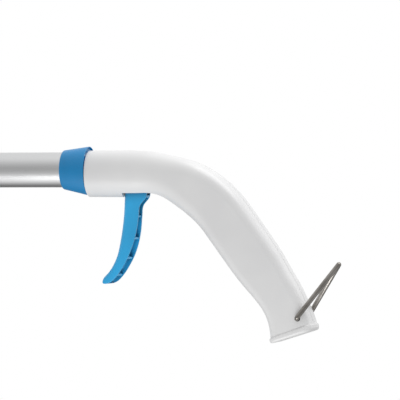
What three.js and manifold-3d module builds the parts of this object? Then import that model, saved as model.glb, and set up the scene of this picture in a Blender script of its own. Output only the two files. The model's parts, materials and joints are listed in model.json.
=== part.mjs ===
// A long-handled sock aid with a trigger grip. A tube joins a grip to a head with two spreader arms.
// Squeezing the trigger pulls a rod through the tube, and the rod swings the arms apart, which
// stretches the mouth of the sock open. A wire bail on the grip hangs the tool up and hooks clothes.
//
// Millimetres, +Z up. X runs along the tube, with the arms at -X and the grip at +X. Y is across.
// The origin is the trigger's pivot, on the axis of the tube.

import * as THREE from "three";
import { mergeVertices } from "three/addons/utils/BufferGeometryUtils.js";
import Module from "manifold-3d";

const wasm = await Module();
wasm.setup();
const { PI, sin, cos, tan, atan, min, max } = Math;
const degrees = PI / 180;

// ---- Driving dimensions ----

const gap = 0.3; // between pieces that touch
const slip = 0.3; // around a pin or a rod that moves

const tubeDiameter = 22;
const tubeWall = 1.2;
const tubeLength = 460;

const gripFront = -31.3; // the grip's front face, where the tube ends
const neckWall = 3.5; // how far the grip stands out past the tube, on average
const neckDrop = 2.5; // the grip's centre line lies this far below the tube's axis
const gripWall = 2.6;
const gripWidth = 28;
const neckLength = 33.5; // the straight part before the bend
const bendRadius = 68;
const bendAngle = 54.2 * degrees;
const gripLength = 53; // the straight part below the bend
const heelLength = 28; // the last part, which turns down again
const heelAngle = 25 * degrees;
const heelTilt = 9 * degrees; // the end face leans this much from square
const bulkhead = 12; // solid front of the grip, before its hollow

const spigotLength = 28; // how far the grip and the head reach into the tube
const spigotWall = 2.7;
const collarLength = 16.7;
const collarThin = 1.1; // collar wall past its bore, at the small end
const collarThick = 4;

const pivotPin = 6; // diameter, for the trigger and for the arms
const bossWall = 3;
const leverDrop = 10; // the drive pin runs this far below the trigger's pivot
const triggerSwing = 44 * degrees;
const triggerNose = -8.2; // the trigger's front, at the height of its pin
const triggerShare = 0.55; // of the neck's width, taken by the trigger
const triggerWall = 2.2;
const pivotSeat = 2.3; // wall left outside the ends of the trigger's pin
const yokeWidth = 6.4;
const yokePlate = 5; // thickness of the yoke's upright and limb
const railEnd = -9.6; // the rails that guide the yoke end here, ahead of the trigger
const smallPin = 4; // diameter, for the drive pin and the crosshead's pins
const rodDiameter = 4;

const screwDiameter = 3;
const screwHead = 6;
const screwHeadDepth = 2.5;
const rivetDiameter = 3.2;

const bailWire = 3;
const bailReach = 41.3;
const bailRaise = 55 * degrees; // above level, at rest
const bailInset = 5.8; // its pivot lies this far inside the grip's back
const bailFromEnd = 5.4; // and this far before the grip's end
const bailHold = 5; // length of wire held in each side

const headHalfHeight = 11;
const headRearHalfWidth = 25;
const headCorner = 6;
const headFrontDepth = 20; // from the arms' pivots to the head's front face
const headNeck = 12; // the round neck that the tube butts against
const armPivotSpread = 7.5; // each arm's pivot, from the middle
const armLever = 15; // from an arm's pivot to its crosshead pin
const armLength = 118;
const armHubHeight = 8;
const armRootHalf = 5.8; // half the width of an arm where it leaves the head
const fingerStart = 34; // from its pivot an arm is a tall finger
const fingerHeight = 18;
const fingerRest = 1.2; // each finger rests this far from the middle plane
const leverPlate = 4.8;
const crossheadHeight = 13;
const crossheadBar = 6;
const springWire = 1.4;
const springTurns = 6;
const padLength = 40;
const padHeight = 14;
const padThick = 2.2;
const padRecess = 1.2;

// ---- Sizes that follow from them ----

const tubeRadius = tubeDiameter / 2;
const tubeRear = gripFront - gap;
const tubeFront = tubeRear - tubeLength;
const headNeckEnd = tubeFront - gap;
const headRear = headNeckEnd - headNeck;
const spigotRadius = tubeRadius - tubeWall - gap;
const spigotBore = spigotRadius - spigotWall;
const neckDepth = tubeDiameter + 2 * neckWall;
const triggerWidth = triggerShare * neckDepth;
const triggerHub = triggerWidth / 2 - 1; // half-length of the hub round its pin
const hollowStart = gripFront + bulkhead;
const triggerBoss = pivotPin / 2 + slip + bossWall;
const leverAngle = triggerSwing / 2; // the drive pin's lever stands this far before its middle
const driveStart = -leverDrop * tan(leverAngle);
const driveTravel = -2 * driveStart;
const yokeFront = driveStart - 13;
const yokeEnd = driveStart + smallPin / 2 + 2.5;
const yokeBottom = -leverDrop - yokePlate / 2;
const armPivotX = headRear - 26;
const crossheadX = armPivotX + driveStart;
const armRest = atan(-driveStart / armLever); // each lever leans this far at rest
const armSwing = 2 * armRest;
const crossheadRear = armPivotX + pivotPin / 2 + bossWall + 1.2 + crossheadBar;
const pocketRear = crossheadRear + driveTravel + 1;
const pocketFront = armPivotX - 11;
const pocketHalfWidth = armPivotSpread + armLever + smallPin + 2;
const headFront = armPivotX - headFrontDepth;
// The mouth is as wide as the arms' roots where they cross the head's front face when open.
const mouthHalfWidth =
  armPivotSpread + headFrontDepth * tan(armSwing) + armRootHalf / cos(armSwing) + 1.5;
const headHalfWidth = mouthHalfWidth + screwHead + 2.7;
const fingerInner = fingerRest - armPivotSpread; // a finger's inner edge, from its pivot
const rivetRear = gripFront - spigotLength / 3;
const rivetFront = headNeckEnd + spigotLength / 3;
const guideLength = 8;
const frontGuideStart = crossheadRear + 24;

// ---- Solids: three.js makes the shapes, manifold-3d joins and cuts them ----

function solidOf(geometry) {
  const bare = geometry.clone();
  bare.deleteAttribute("normal");
  bare.deleteAttribute("uv");
  const merged = mergeVertices(bare, 1e-4);
  const vertProperties = merged.attributes.position.array;
  const triVerts = new Uint32Array(merged.index.array);
  return new wasm.Manifold(new wasm.Mesh({ numProp: 3, vertProperties, triVerts }));
}

function geometryOf(solid) {
  const mesh = solid.getMesh();
  const geometry = new THREE.BufferGeometry();
  geometry.setAttribute("position", new THREE.BufferAttribute(mesh.vertProperties, 3));
  geometry.setIndex(new THREE.BufferAttribute(mesh.triVerts, 1));
  return geometry.toNonIndexed();
}

const join = (first, ...others) => others.reduce((whole, other) => whole.add(other), first);
const cut = (first, ...tools) => tools.reduce((whole, tool) => whole.subtract(tool), first);

function block([x0, x1], [y0, y1], [z0, z1]) {
  const box = new THREE.BoxGeometry(x1 - x0, y1 - y0, z1 - z0);
  return solidOf(box.translate((x0 + x1) / 2, (y0 + y1) / 2, (z0 + z1) / 2));
}

// A block that is even on both sides of the planes Y = 0 and Z = 0.
const slab = (x, halfY, halfZ) => block(x, [-halfY, halfY], [-halfZ, halfZ]);

// A round bar along one axis, from start to end on it. at gives its place on the other two axes.
function bar(axis, radius, [start, end], at = {}, sides = 20) {
  const cylinder = new THREE.CylinderGeometry(radius, radius, end - start, sides);
  if (axis === "x") cylinder.rotateZ(-PI / 2);
  if (axis === "z") cylinder.rotateX(PI / 2);
  const place = { x: 0, y: 0, z: 0, ...at, [axis]: (start + end) / 2 };
  return solidOf(cylinder.translate(place.x, place.y, place.z));
}

// A profile of [x, radius] points turned about the X axis.
function turned(profile, sides = 40) {
  const points = profile.map(([x, radius]) => new THREE.Vector2(radius, x));
  return solidOf(new THREE.LatheGeometry(points, sides).rotateZ(-PI / 2));
}

// An outline drawn in X and Z, given a width across Y and rounded edges.
function plateXZ(outline, width, round = 0, curveSegments = 6) {
  const geometry = extruded(outline, width, round, curveSegments);
  return solidOf(geometry.rotateX(PI / 2));
}

// An outline drawn in X and Y, given a height about the middle plane.
function plateXY(outline, height, round = 0, curveSegments = 6) {
  return solidOf(extruded(outline, height, round, curveSegments));
}

function extruded(outline, thickness, round, curveSegments) {
  const geometry = new THREE.ExtrudeGeometry(outline, {
    depth: thickness - 2 * round,
    curveSegments,
    bevelEnabled: round > 0,
    bevelSize: round,
    bevelOffset: -round,
    bevelThickness: round,
    bevelSegments: 2,
  });
  return geometry.translate(0, 0, -(thickness - 2 * round) / 2);
}

function wire(path, diameter, steps, halfSides = 4) {
  const section = new THREE.Shape().absarc(0, 0, diameter / 2, 0, 2 * PI);
  const options = { extrudePath: path, steps, curveSegments: halfSides, bevelEnabled: false };
  return solidOf(new THREE.ExtrudeGeometry(section, options));
}

// Straight lines between points, with each inner corner rounded off.
function roundedPath(corners, round) {
  const path = new THREE.CurvePath();
  let start = corners[0];
  for (let i = 1; i < corners.length - 1; i++) {
    const corner = corners[i];
    const before = corners[i - 1].clone().sub(corner).setLength(round).add(corner);
    const after = corners[i + 1].clone().sub(corner).setLength(round).add(corner);
    path.add(new THREE.LineCurve3(start, before));
    path.add(new THREE.QuadraticBezierCurve3(before, corner, after));
    start = after;
  }
  path.add(new THREE.LineCurve3(start, corners.at(-1)));
  return path;
}

// ---- The grip's form: a rounded section that follows a bent centre line ----

const gripParts = [
  { length: neckLength, turn: 0 },
  { length: bendRadius * bendAngle, turn: bendAngle },
  { length: gripLength, turn: 0 },
  { length: heelLength, turn: heelAngle },
];
const gripEnd = gripParts.reduce((sum, part) => sum + part.length, 0);

// The centre line's point at a distance from the grip's front, and its heading below level.
function centreLine(distance) {
  const point = new THREE.Vector3(gripFront, 0, -neckDrop);
  let heading = 0;
  let left = distance;
  gripParts.forEach((part, i) => {
    const isLast = i === gripParts.length - 1;
    const length = isLast ? left : min(left, part.length);
    const turn = (part.turn * length) / part.length;
    const chord = turn ? (length * sin(turn / 2)) / (turn / 2) : length;
    point.x += chord * cos(heading + turn / 2);
    point.z -= chord * sin(heading + turn / 2);
    heading += turn;
    left -= length;
  });
  return { point, heading };
}

// The section along the grip: round at the tube, then a rounded rectangle that tightens to the end.
// at is a share of the centre line's length; depth is front to back; corner is the edges' radius.
const sections = [
  { at: 0, depth: neckDepth, width: neckDepth, corner: 14.2 },
  { at: 0.17, depth: neckDepth, width: neckDepth, corner: 14 },
  { at: 0.27, depth: 27, width: gripWidth + 1, corner: 12.5 },
  { at: 0.38, depth: 30.4, width: gripWidth + 1, corner: 10 },
  { at: 0.5, depth: 30.6, width: gripWidth + 0.5, corner: 7.5 },
  { at: 0.6, depth: 30.3, width: gripWidth, corner: 6.5 },
  { at: 0.74, depth: 29.4, width: gripWidth, corner: 6 },
  { at: 0.84, depth: 26, width: gripWidth, corner: 5.5 },
  { at: 0.92, depth: 24.6, width: gripWidth, corner: 5 },
  { at: 1, depth: 26.4, width: gripWidth, corner: 4.5 },
];
const sectionCurve = new THREE.CubicInterpolant(
  sections.map((section) => section.at * gripEnd),
  sections.flatMap((section) => [section.depth, section.width, section.corner]),
  3,
);

// The grip's frame at a distance: its section's centre, its back direction and its sizes.
function gripFrame(distance) {
  const { point, heading } = centreLine(distance);
  const [depth, width, corner] = sectionCurve.evaluate(min(distance, gripEnd));
  const heelShare = max(0, (distance - gripEnd + heelLength) / heelLength);
  const lean = heading - heelTilt * heelShare;
  const back = new THREE.Vector3(sin(lean), 0, cos(lean));
  return { point, heading, back, depth, width, corner };
}

// One closed ring of the section, moved inwards by inset.
function gripRing(distance, inset, cornerSteps = 5) {
  const { point, back, depth, width, corner } = gripFrame(distance);
  const halfDepth = depth / 2 - inset;
  const halfWidth = width / 2 - inset;
  const round = min(max(corner - inset, 1), halfDepth - 0.3, halfWidth - 0.3);
  const ring = [];
  for (let quarter = 0; quarter < 4; quarter++) {
    const signDepth = quarter === 0 || quarter === 3 ? 1 : -1;
    const signWidth = quarter < 2 ? 1 : -1;
    for (let step = 0; step <= cornerSteps; step++) {
      const angle = ((quarter + step / cornerSteps) * PI) / 2;
      const out = signDepth * (halfDepth - round) + round * cos(angle);
      const across = signWidth * (halfWidth - round) + round * sin(angle);
      ring.push(point.clone().addScaledVector(back, out).setY(across));
    }
  }
  return ring;
}

// A closed skin over rings of equal count, with a fan over each end.
function loft(rings) {
  const count = rings[0].length;
  const middle = new THREE.Vector3();
  const middleOf = (ring) =>
    ring.reduce((sum, point) => sum.add(point), middle.clone()).divideScalar(count);
  const corners = rings.flat().concat(middleOf(rings[0]), middleOf(rings.at(-1)));
  const faces = [];
  for (let i = 0; i < count; i++) {
    const next = (i + 1) % count;
    for (let r = 0; r < rings.length - 1; r++) {
      const here = r * count;
      const beyond = here + count;
      faces.push(here + i, beyond + next, here + next, here + i, beyond + i, beyond + next);
    }
    const last = (rings.length - 1) * count;
    faces.push(corners.length - 2, i, next, corners.length - 1, last + next, last + i);
  }
  const geometry = new THREE.BufferGeometry().setFromPoints(corners);
  geometry.setIndex(faces);
  return solidOf(geometry);
}

function gripSolid(from, to, inset, steps) {
  const rings = [];
  for (let i = 0; i <= steps; i++) {
    rings.push(gripRing(from + ((to - from) * i) / steps, inset));
  }
  return loft(rings);
}

const far = 200; // past the end of anything on the grip

// The part of a solid on one side of the plane Y = 0, half a gap short of it.
function halfY(solid, side) {
  const range = side < 0 ? [-far, -gap / 2] : [gap / 2, far];
  return solid.intersect(block([-far, far], range, [-far, far]));
}

// ---- Places on the grip that other pieces share ----

const bailFrame = gripFrame(gripEnd - bailFromEnd);
const bailOut = bailFrame.depth / 2 - bailInset;
const bailPivot = bailFrame.point.clone().addScaledVector(bailFrame.back, bailOut);

// Shell screws: distance along the centre line, and offset towards the grip's back.
const shellScrews = [
  { name: "shell_screw_front", along: 54, offset: 6 },
  { name: "shell_screw_middle", along: 108, offset: 0 },
  { name: "shell_screw_rear", along: 150, offset: -4 },
].map(({ name, along, offset }) => {
  const { point, back } = gripFrame(along);
  return { name, place: point.addScaledVector(back, offset) };
});
const screwSeat = gripWidth / 2 - 4; // the screw heads sit this far out, in wells in the right shell
const screwTip = -8;

// ---- Grip shells, cap and collars ----

// The opening that the trigger swings in: a sector about its pivot, through the grip's underside,
// with room for the trigger's nose ahead of it.
function triggerSlot() {
  const reach = 44;
  const front = -29 * degrees;
  const rear = 50 * degrees;
  const outline = new THREE.Shape();
  const nose = triggerNose - slip;
  outline.moveTo(0, 0);
  outline.lineTo(nose, 0);
  outline.lineTo(nose, -nose / tan(front));
  outline.lineTo(reach * sin(front), -reach * cos(front));
  outline.lineTo(reach * sin(rear), -reach * cos(rear));
  outline.closePath();
  return plateXZ(outline, triggerWidth + 2 * slip);
}

// Room for the yoke to slide in, wherever the neck is too shallow for it.
function yokeTrack() {
  const half = yokeWidth / 2 + slip;
  return block([yokeFront - 1, yokeEnd + driveTravel + 1], [-half, half], [yokeBottom - slip, 0]);
}

function gripBody() {
  const hollow = gripSolid(bulkhead, gripEnd + 1, gripWall, 20);
  const spigot = bar("x", spigotRadius, [gripFront - spigotLength, gripFront + 1], {}, 32);
  const bore = bar("x", spigotBore, [gripFront - spigotLength - 1, hollowStart + 1], {}, 24);
  return cut(join(gripSolid(0, gripEnd, 0, 26), spigot), hollow, bore);
}

// The bosses inside one shell: for the trigger's pin, the bail's ends and the screws, and the
// rails that the yoke slides between.
function shellBosses(side) {
  const across = (from, to) => (side < 0 ? [-to, -from] : [from, to]);
  const wall = gripWidth / 2 - 1;
  const screwBoss = screwDiameter / 2 + bossWall;
  const bosses = [
    bar("y", triggerBoss, across(triggerWidth / 2 + slip, wall)),
    bar("y", bailWire / 2 + bossWall, across(wall - bailHold, wall), bailPivot),
    block([hollowStart - 1, railEnd], across(yokeWidth / 2 + slip, wall), [yokeBottom, bossWall]),
    ...shellScrews.map((screw) => bar("y", screwBoss, across(0, wall), screw.place)),
  ];
  return join(...bosses).intersect(gripSolid(0, gripEnd, gripWall / 2, 26));
}

function gripShell(side) {
  const across = (from, to) => (side < 0 ? [-to, -from] : [from, to]);
  const outside = gripWidth;
  const holes = [
    bar("y", pivotPin / 2 + gap, across(0, neckDepth / 2 - pivotSeat)),
    bar("y", bailWire / 2 + slip, across(0, outside), bailPivot, 16),
    triggerSlot(),
    bar("y", triggerBoss + slip, [-triggerHub - slip, triggerHub + slip]),
    yokeTrack(),
  ];
  for (const { place } of shellScrews) {
    const shaft = side < 0 ? [screwTip - 1, 1] : [-1, screwSeat + 1];
    holes.push(bar("y", screwDiameter / 2 + gap, shaft, place, 12));
    const well = [screwSeat - screwHeadDepth, outside];
    if (side > 0) holes.push(bar("y", screwHead / 2 + gap, well, place, 16));
  }
  holes.push(...tubeRivets(rivetRear, gap));
  return halfY(cut(join(gripBody(), shellBosses(side)), ...holes), side);
}

// Short rivets that pin the tube to a spigot, one at each side, hidden by the collar.
function tubeRivets(x, clearance = 0) {
  const reach = tubeRadius + (clearance ? 1 : 0.1);
  const root = spigotRadius - spigotWall + 0.5 - clearance;
  return [-1, 1].map((side) => {
    const range = side < 0 ? [-reach, -root] : [root, reach];
    return bar("y", rivetDiameter / 2 + clearance, range, { x }, 12);
  });
}

// The cap that closes the grip's open end: a plate with rounded edges and a plug inside the walls.
function buttCap() {
  const thickness = 3.4;
  const proud = 0.5;
  const start = gripEnd + gap;
  const rings = [
    gripRing(start, -proud),
    gripRing(start + thickness - 1.2, -proud),
    gripRing(start + thickness - 0.35, -proud + 0.4),
    gripRing(start + thickness, -proud + 1.4),
  ];
  const plug = gripSolid(gripEnd - 6, start + 1, gripWall + gap, 2);
  const bailRoom = bar("y", bailWire / 2 + bossWall + gap, [-30, 30], bailPivot);
  return join(loft(rings), cut(plug, bailRoom));
}

// A tapered ring over the tube's end, thick where it meets the grip or the head.
function collar() {
  const bore = tubeRadius + gap;
  const thin = bore + collarThin;
  const thick = bore + collarThick;
  return turned([
    [0, bore],
    [0, thin - 0.7],
    [0.25, thin - 0.2],
    [0.9, thin + 0.1],
    [collarLength - 0.6, thick],
    [collarLength, thick - 0.5],
    [collarLength, bore],
    [0, bore],
  ]);
}

// ---- Trigger and drive ----

const triggerFront = [
  [triggerNose, -9],
  [-6.2, -13],
  [-6.4, -19.5],
  [-7.4, -31],
  [-9, -43],
  [-11.6, -54],
  [-16, -62.4],
  [-21.4, -68],
];
const triggerRear = [
  [-17.6, -71.3],
  [-12.8, -67],
  [-8.6, -61.4],
  [-4.6, -54],
  [-1.8, -46],
  [-0.2, -37.6],
  [0.6, -28.8],
  [1.4, -22.5],
  [6.3, -16.5],
];
const points2 = (list) => list.map(([x, y]) => new THREE.Vector2(x, y));

function triggerOutline() {
  const outline = new THREE.Shape();
  outline.moveTo(triggerNose, -3);
  outline.lineTo(...triggerFront[0]);
  outline.splineThru(points2(triggerFront.slice(1)));
  outline.quadraticCurveTo(-24, -70.6, ...triggerRear[0]);
  outline.splineThru(points2(triggerRear.slice(1)));
  outline.lineTo(6.3, 0);
  outline.lineTo(0, 3);
  outline.closePath();
  return outline;
}

// Cross ribs in the channel, square to the blade's rear edge.
function triggerRibs() {
  const edge = new THREE.SplineCurve(points2(triggerRear));
  return [0.12, 0.33, 0.54, 0.75].map((share) => {
    const place = edge.getPointAt(share);
    const slope = edge.getTangentAt(share);
    const rib = new THREE.BoxGeometry(9, triggerWidth - 2, 1.5);
    rib.translate(-5.1, 0, 0);
    rib.rotateY(atan(slope.x / slope.y));
    return solidOf(rib.translate(place.x, 0, place.y));
  });
}

function triggerBlade() {
  const outline = triggerOutline();
  const body = join(plateXZ(outline, triggerWidth, 0.8, 4), bar("y", triggerBoss, [-triggerHub, triggerHub]));
  const channel = plateXZ(outline, triggerWidth - 2 * triggerWall, 0, 4)
    .translate(triggerWall + 0.6, 0, 0)
    .intersect(block([-40, 20], [-9, 9], [-69, -25]));
  const yokeRoom = block([-20, 20], [-yokeWidth / 2 - slip, yokeWidth / 2 + slip], [-16, 20]);
  const reach = leverDrop / cos(leverAngle);
  const pinSlot = [leverDrop - slip / 2, reach + slip / 2].map((along) => {
    const at = { x: -along * sin(leverAngle), z: -along * cos(leverAngle) };
    return bar("y", smallPin / 2 + slip, [-9, 9], at, 16);
  });
  const ribs = triggerRibs().map((rib) => rib.intersect(body));
  return cut(
    join(cut(body, channel), ...ribs),
    yokeRoom,
    bar("y", pivotPin / 2 + slip, [-9, 9]),
    ...pinSlot,
  );
}

// The yoke joins the rod on the tube's axis to the drive pin below the trigger's pivot.
function driveYoke() {
  const half = yokeWidth / 2;
  const limbTop = yokeBottom + yokePlate + 0.5;
  const upright = block([yokeFront, yokeFront + yokePlate], [-half, half], [yokeBottom, rodDiameter]);
  const limb = block([yokeFront + 1, yokeEnd], [-half, half], [yokeBottom, limbTop]);
  return cut(
    join(upright, limb),
    bar("x", rodDiameter / 2 + gap, [yokeFront - 1, yokeFront + 4], {}, 12),
    bar("y", smallPin / 2 + gap, [-9, 9], { x: driveStart, z: -leverDrop }, 12),
  );
}

function rodGuide() {
  const outer = spigotBore - gap;
  const inner = rodDiameter / 2 + slip;
  const end = guideLength;
  return turned([[0, inner], [0, outer], [end, outer], [end, inner], [0, inner]], 20);
}

// The crosshead: a bar behind the arms' hubs with a lug reaching forward to each pin.
function crosshead() {
  const half = crossheadHeight / 2;
  const lugInner = armPivotSpread + armLever - smallPin;
  const lugOuter = armPivotSpread + armLever + smallPin;
  const barX = [crossheadRear - crossheadBar, crossheadRear];
  const lugX = [crossheadX - smallPin, crossheadRear - 1];
  const levers = slab([crossheadX - 20, barX[0]], 40, leverPlate / 2 + slip);
  return cut(
    join(
      slab(barX, lugOuter, half),
      block(lugX, [-lugOuter, -lugInner], [-half, half]),
      block(lugX, [lugInner, lugOuter], [-half, half]),
    ),
    levers,
    bar("x", rodDiameter / 2 + gap, [barX[0] + 2, crossheadRear + 1], {}, 12),
    ...crossheadPins(gap),
  );
}

function crossheadPins(clearance = 0) {
  const half = crossheadHeight / 2 + (clearance ? 1 : -0.2);
  const across = armPivotSpread + armLever;
  return [-across, across].map((y) =>
    bar("z", smallPin / 2 + clearance, [-half, half], { x: crossheadX, y }, 12),
  );
}

class Helix extends THREE.Curve {
  constructor(radius, length, turns) {
    super();
    Object.assign(this, { radius, length, turns });
  }
  getPoint(share) {
    const angle = 2 * PI * this.turns * share;
    return new THREE.Vector3(this.length * share, this.radius * cos(angle), this.radius * sin(angle));
  }
}

// A compression spring round the rod, between the crosshead and the front rod guide.
function returnSpring() {
  const radius = spigotBore - springWire / 2 - 2 * slip;
  const start = crossheadRear + gap + springWire / 2;
  const end = frontGuideStart - gap - springWire / 2;
  const coil = wire(new Helix(radius, end - start, springTurns), springWire, springTurns * 10, 3);
  return coil.translate(start, 0, 0);
}

// ---- Head and arms ----

const headScrews = [
  { name: "head_screw_rear_left", x: headRear + 3, y: -(headRearHalfWidth - 5.5) },
  { name: "head_screw_rear_right", x: headRear + 3, y: headRearHalfWidth - 5.5 },
  { name: "head_screw_front_left", x: headFront + 7, y: -(headHalfWidth - 4.4) },
  { name: "head_screw_front_right", x: headFront + 7, y: headHalfWidth - 4.4 },
];
const headScrewTip = -headHalfHeight + 2 + gap;
const armPinSeat = 1.6; // wall left outside the ends of the arms' pins

// Seen from above: narrow where the tube comes in, full width from the arms' pivots to the front.
function headOutline() {
  const rear = headRear + 8;
  const [narrow, wide, corner] = [headRearHalfWidth, headHalfWidth, headCorner];
  const outline = new THREE.Shape();
  outline.moveTo(rear, -narrow + corner);
  outline.quadraticCurveTo(rear, -narrow, rear - corner, -narrow);
  outline.quadraticCurveTo(armPivotX + 14, -wide, armPivotX, -wide);
  outline.lineTo(headFront + corner, -wide);
  outline.quadraticCurveTo(headFront, -wide, headFront, -wide + corner);
  outline.lineTo(headFront, wide - corner);
  outline.quadraticCurveTo(headFront, wide, headFront + corner, wide);
  outline.lineTo(armPivotX, wide);
  outline.quadraticCurveTo(armPivotX + 14, wide, rear - corner, narrow);
  outline.quadraticCurveTo(rear, narrow, rear, narrow - corner);
  outline.closePath();
  return outline;
}

function headBody() {
  const neck = bar("x", tubeRadius + neckWall, [headRear - 6, headNeckEnd], {}, 32);
  const spigot = bar("x", spigotRadius, [headRear, headNeckEnd + spigotLength], {}, 32);
  return join(plateXY(headOutline(), 2 * headHalfHeight, 2.5, 5), neck, spigot);
}

// Half of the head, hollowed for the crosshead and the arms' hubs, and open at the front for the arms.
function headShell(side) {
  const seat = headHalfHeight - armPinSeat;
  const range = side < 0 ? [-far, -gap / 2] : [gap / 2, far];
  const pocket = slab([pocketFront, pocketRear], pocketHalfWidth, crossheadHeight / 2 + 1);
  const mouth = slab([headFront - 1, pocketFront + 1], mouthHalfWidth, armHubHeight / 2 + 2 * slip);
  const bore = bar("x", spigotBore, [pocketRear - 1, headNeckEnd + spigotLength + 1], {}, 24);
  const holes = tubeRivets(rivetFront, gap);
  for (const y of [-armPivotSpread, armPivotSpread]) {
    holes.push(bar("z", pivotPin / 2 + gap, [-seat, seat], { x: armPivotX, y }, 16));
  }
  for (const { x, y } of headScrews) {
    const shank = [headScrewTip - gap, headHalfHeight];
    const well = [headHalfHeight - screwHeadDepth - gap, headHalfHeight + 1];
    holes.push(bar("z", screwDiameter / 2 + gap, shank, { x, y }, 12));
    holes.push(bar("z", screwHead / 2 + gap, well, { x, y }, 16));
  }
  const body = cut(headBody(), pocket, mouth, bore, ...holes);
  return body.intersect(block([headFront - 1, headNeckEnd + spigotLength + 1], [-far, far], range));
}

// A screw: a pan head and a plain shank, along +Z from its tip.
function screw(length) {
  const shank = bar("z", screwDiameter / 2, [0, length - 1], {}, 10);
  return join(shank, bar("z", screwHead / 2, [length - screwHeadDepth, length], {}, 16));
}

// The finger of an arm at rest, drawn along -X from its pivot for the side at +Y.
function fingerOutline() {
  const tip = -armLength + 7;
  const padEnd = tip + padLength + 6;
  const outline = new THREE.Shape();
  outline.moveTo(0, fingerInner);
  outline.lineTo(tip, fingerInner);
  outline.quadraticCurveTo(-armLength - 4, fingerInner + 1.6, tip, fingerInner + 6.2);
  outline.lineTo(padEnd, fingerInner + 11);
  outline.quadraticCurveTo(-40, fingerInner + 13, -headFrontDepth, armRootHalf - 0.8);
  outline.lineTo(0, armRootHalf - 0.8);
  outline.closePath();
  return outline;
}

// A pad's place: along the sloping outer face near the finger's tip.
const padSlope = atan(4.8 / (padLength + 6));
function padPlace(solid) {
  return solid
    .rotate([0, 0, padSlope / degrees])
    .translate([-armLength + 10, fingerInner + 6.2 + 3 * tan(padSlope), 0]);
}

// An arm: a hub on its pin, a lever out to the crosshead's pin, a low root and a tall finger.
function spreaderArm() {
  const hub = bar("z", pivotPin / 2 + bossWall, [-armHubHeight / 2, armHubHeight / 2], {}, 24);
  const reach = armLever / cos(armRest);
  const plate = [-leverPlate / 2, leverPlate / 2];
  const lever = block([-4.4, 4.4], [0, reach + smallPin / 2 + 2.2], plate);
  const pinSlot = [armLever - slip / 2, reach + slip / 2].map((y) =>
    bar("z", smallPin / 2 + slip, [-9, 9], { y }, 16),
  );
  const turnedLever = cut(lever, ...pinSlot).rotate([0, 0, armRest / degrees]);
  const root = plateXY(fingerOutline(), armHubHeight, 0, 5);
  const beyondRoot = slab([-armLength - 5, -fingerStart], 30, fingerHeight);
  const finger = plateXY(fingerOutline(), fingerHeight, 0, 5).intersect(beyondRoot);
  const recessHalf = padHeight / 2 + gap;
  const recess = block([-gap, padLength + gap], [-padRecess, 4], [-recessHalf, recessHalf]);
  const pin = bar("z", pivotPin / 2 + slip, [-9, 9], {}, 20);
  return cut(join(hub, turnedLever, finger, root), padPlace(recess), pin);
}

function spreaderPad() {
  const inner = gap - padRecess;
  const half = padHeight / 2;
  return padPlace(block([0, padLength], [inner, inner + padThick], [-half, half]));
}

// ---- The bail ----

// From inside one wall out through its hole, round to the apex, and back in at the other side.
function bail() {
  const hold = gripWidth / 2 + bailWire / 2 + 1.6;
  const inside = gripWidth / 2 - 1 - bailHold;
  const apex = new THREE.Vector3(bailReach * cos(bailRaise), 0, bailReach * sin(bailRaise));
  const corners = [
    new THREE.Vector3(0, -inside, 0),
    new THREE.Vector3(0, -hold, 0),
    apex,
    new THREE.Vector3(0, hold, 0),
    new THREE.Vector3(0, inside, 0),
  ];
  return wire(roundedPath(corners, 2.6), bailWire, 56);
}

// ---- Materials and assembly ----

const material = (color, roughness, metalness = 0) =>
  new THREE.MeshStandardMaterial({ color, roughness, metalness });
const satinAluminium = material(0xb9bcc0, 0.35, 1);
const whitePlastic = material(0xf2f3f4, 0.35);
const bluePlastic = material(0x2a84c0, 0.45);
const steel = material(0x8c8f93, 0.3, 1);
const darkSteel = material(0x77726b, 0.35, 1);
const guidePlastic = material(0x3a3d42, 0.5);
const softRubber = material(0x2f6f9e, 0.8);

const sockAid = new THREE.Group();

function place(name, solid, finish, x = 0, y = 0, z = 0) {
  const mesh = new THREE.Mesh(geometryOf(solid), finish);
  mesh.name = name;
  mesh.position.set(x, y, z);
  sockAid.add(mesh);
  return mesh;
}

function tube() {
  const outer = tubeRadius;
  const inner = tubeRadius - tubeWall;
  const [front, rear] = [tubeFront, tubeRear];
  const wall = turned([[front, inner], [front, outer], [rear, outer], [rear, inner], [front, inner]], 40);
  return cut(wall, ...tubeRivets(rivetRear, gap), ...tubeRivets(rivetFront, gap));
}

place("main_tube", tube(), satinAluminium);
place("grip_shell_left", gripShell(-1), whitePlastic);
place("grip_shell_right", gripShell(1), whitePlastic);
place("butt_cap", buttCap(), whitePlastic);
place("front_collar", collar(), bluePlastic, gripFront - gap - collarLength);
place("head_collar", collar(), bluePlastic, headNeckEnd + gap + collarLength).rotation.z = PI;
place("hanging_bail", bail(), darkSteel, bailPivot.x, 0, bailPivot.z);

place("trigger", triggerBlade(), bluePlastic);
const pivotReach = neckDepth / 2 - pivotSeat - gap;
place("trigger_pivot_pin", bar("y", pivotPin / 2, [-pivotReach, pivotReach]), steel);
place("drive_yoke", driveYoke(), guidePlastic);
const drivePinReach = triggerWidth / 2 - 0.4;
const drivePin = bar("y", smallPin / 2, [-drivePinReach, drivePinReach], {}, 12);
place("drive_pin", drivePin, steel, driveStart, 0, -leverDrop);
const rodStart = crossheadRear - crossheadBar + 2 + gap;
const rodEnd = yokeFront + 4 - gap;
place("pull_rod", bar("x", rodDiameter / 2, [rodStart, rodEnd], {}, 12), steel);
place("rod_guide_rear", rodGuide(), guidePlastic, gripFront - spigotLength + 1);
place("rod_guide_front", rodGuide(), guidePlastic, frontGuideStart);
place("return_spring", returnSpring(), steel);

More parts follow.
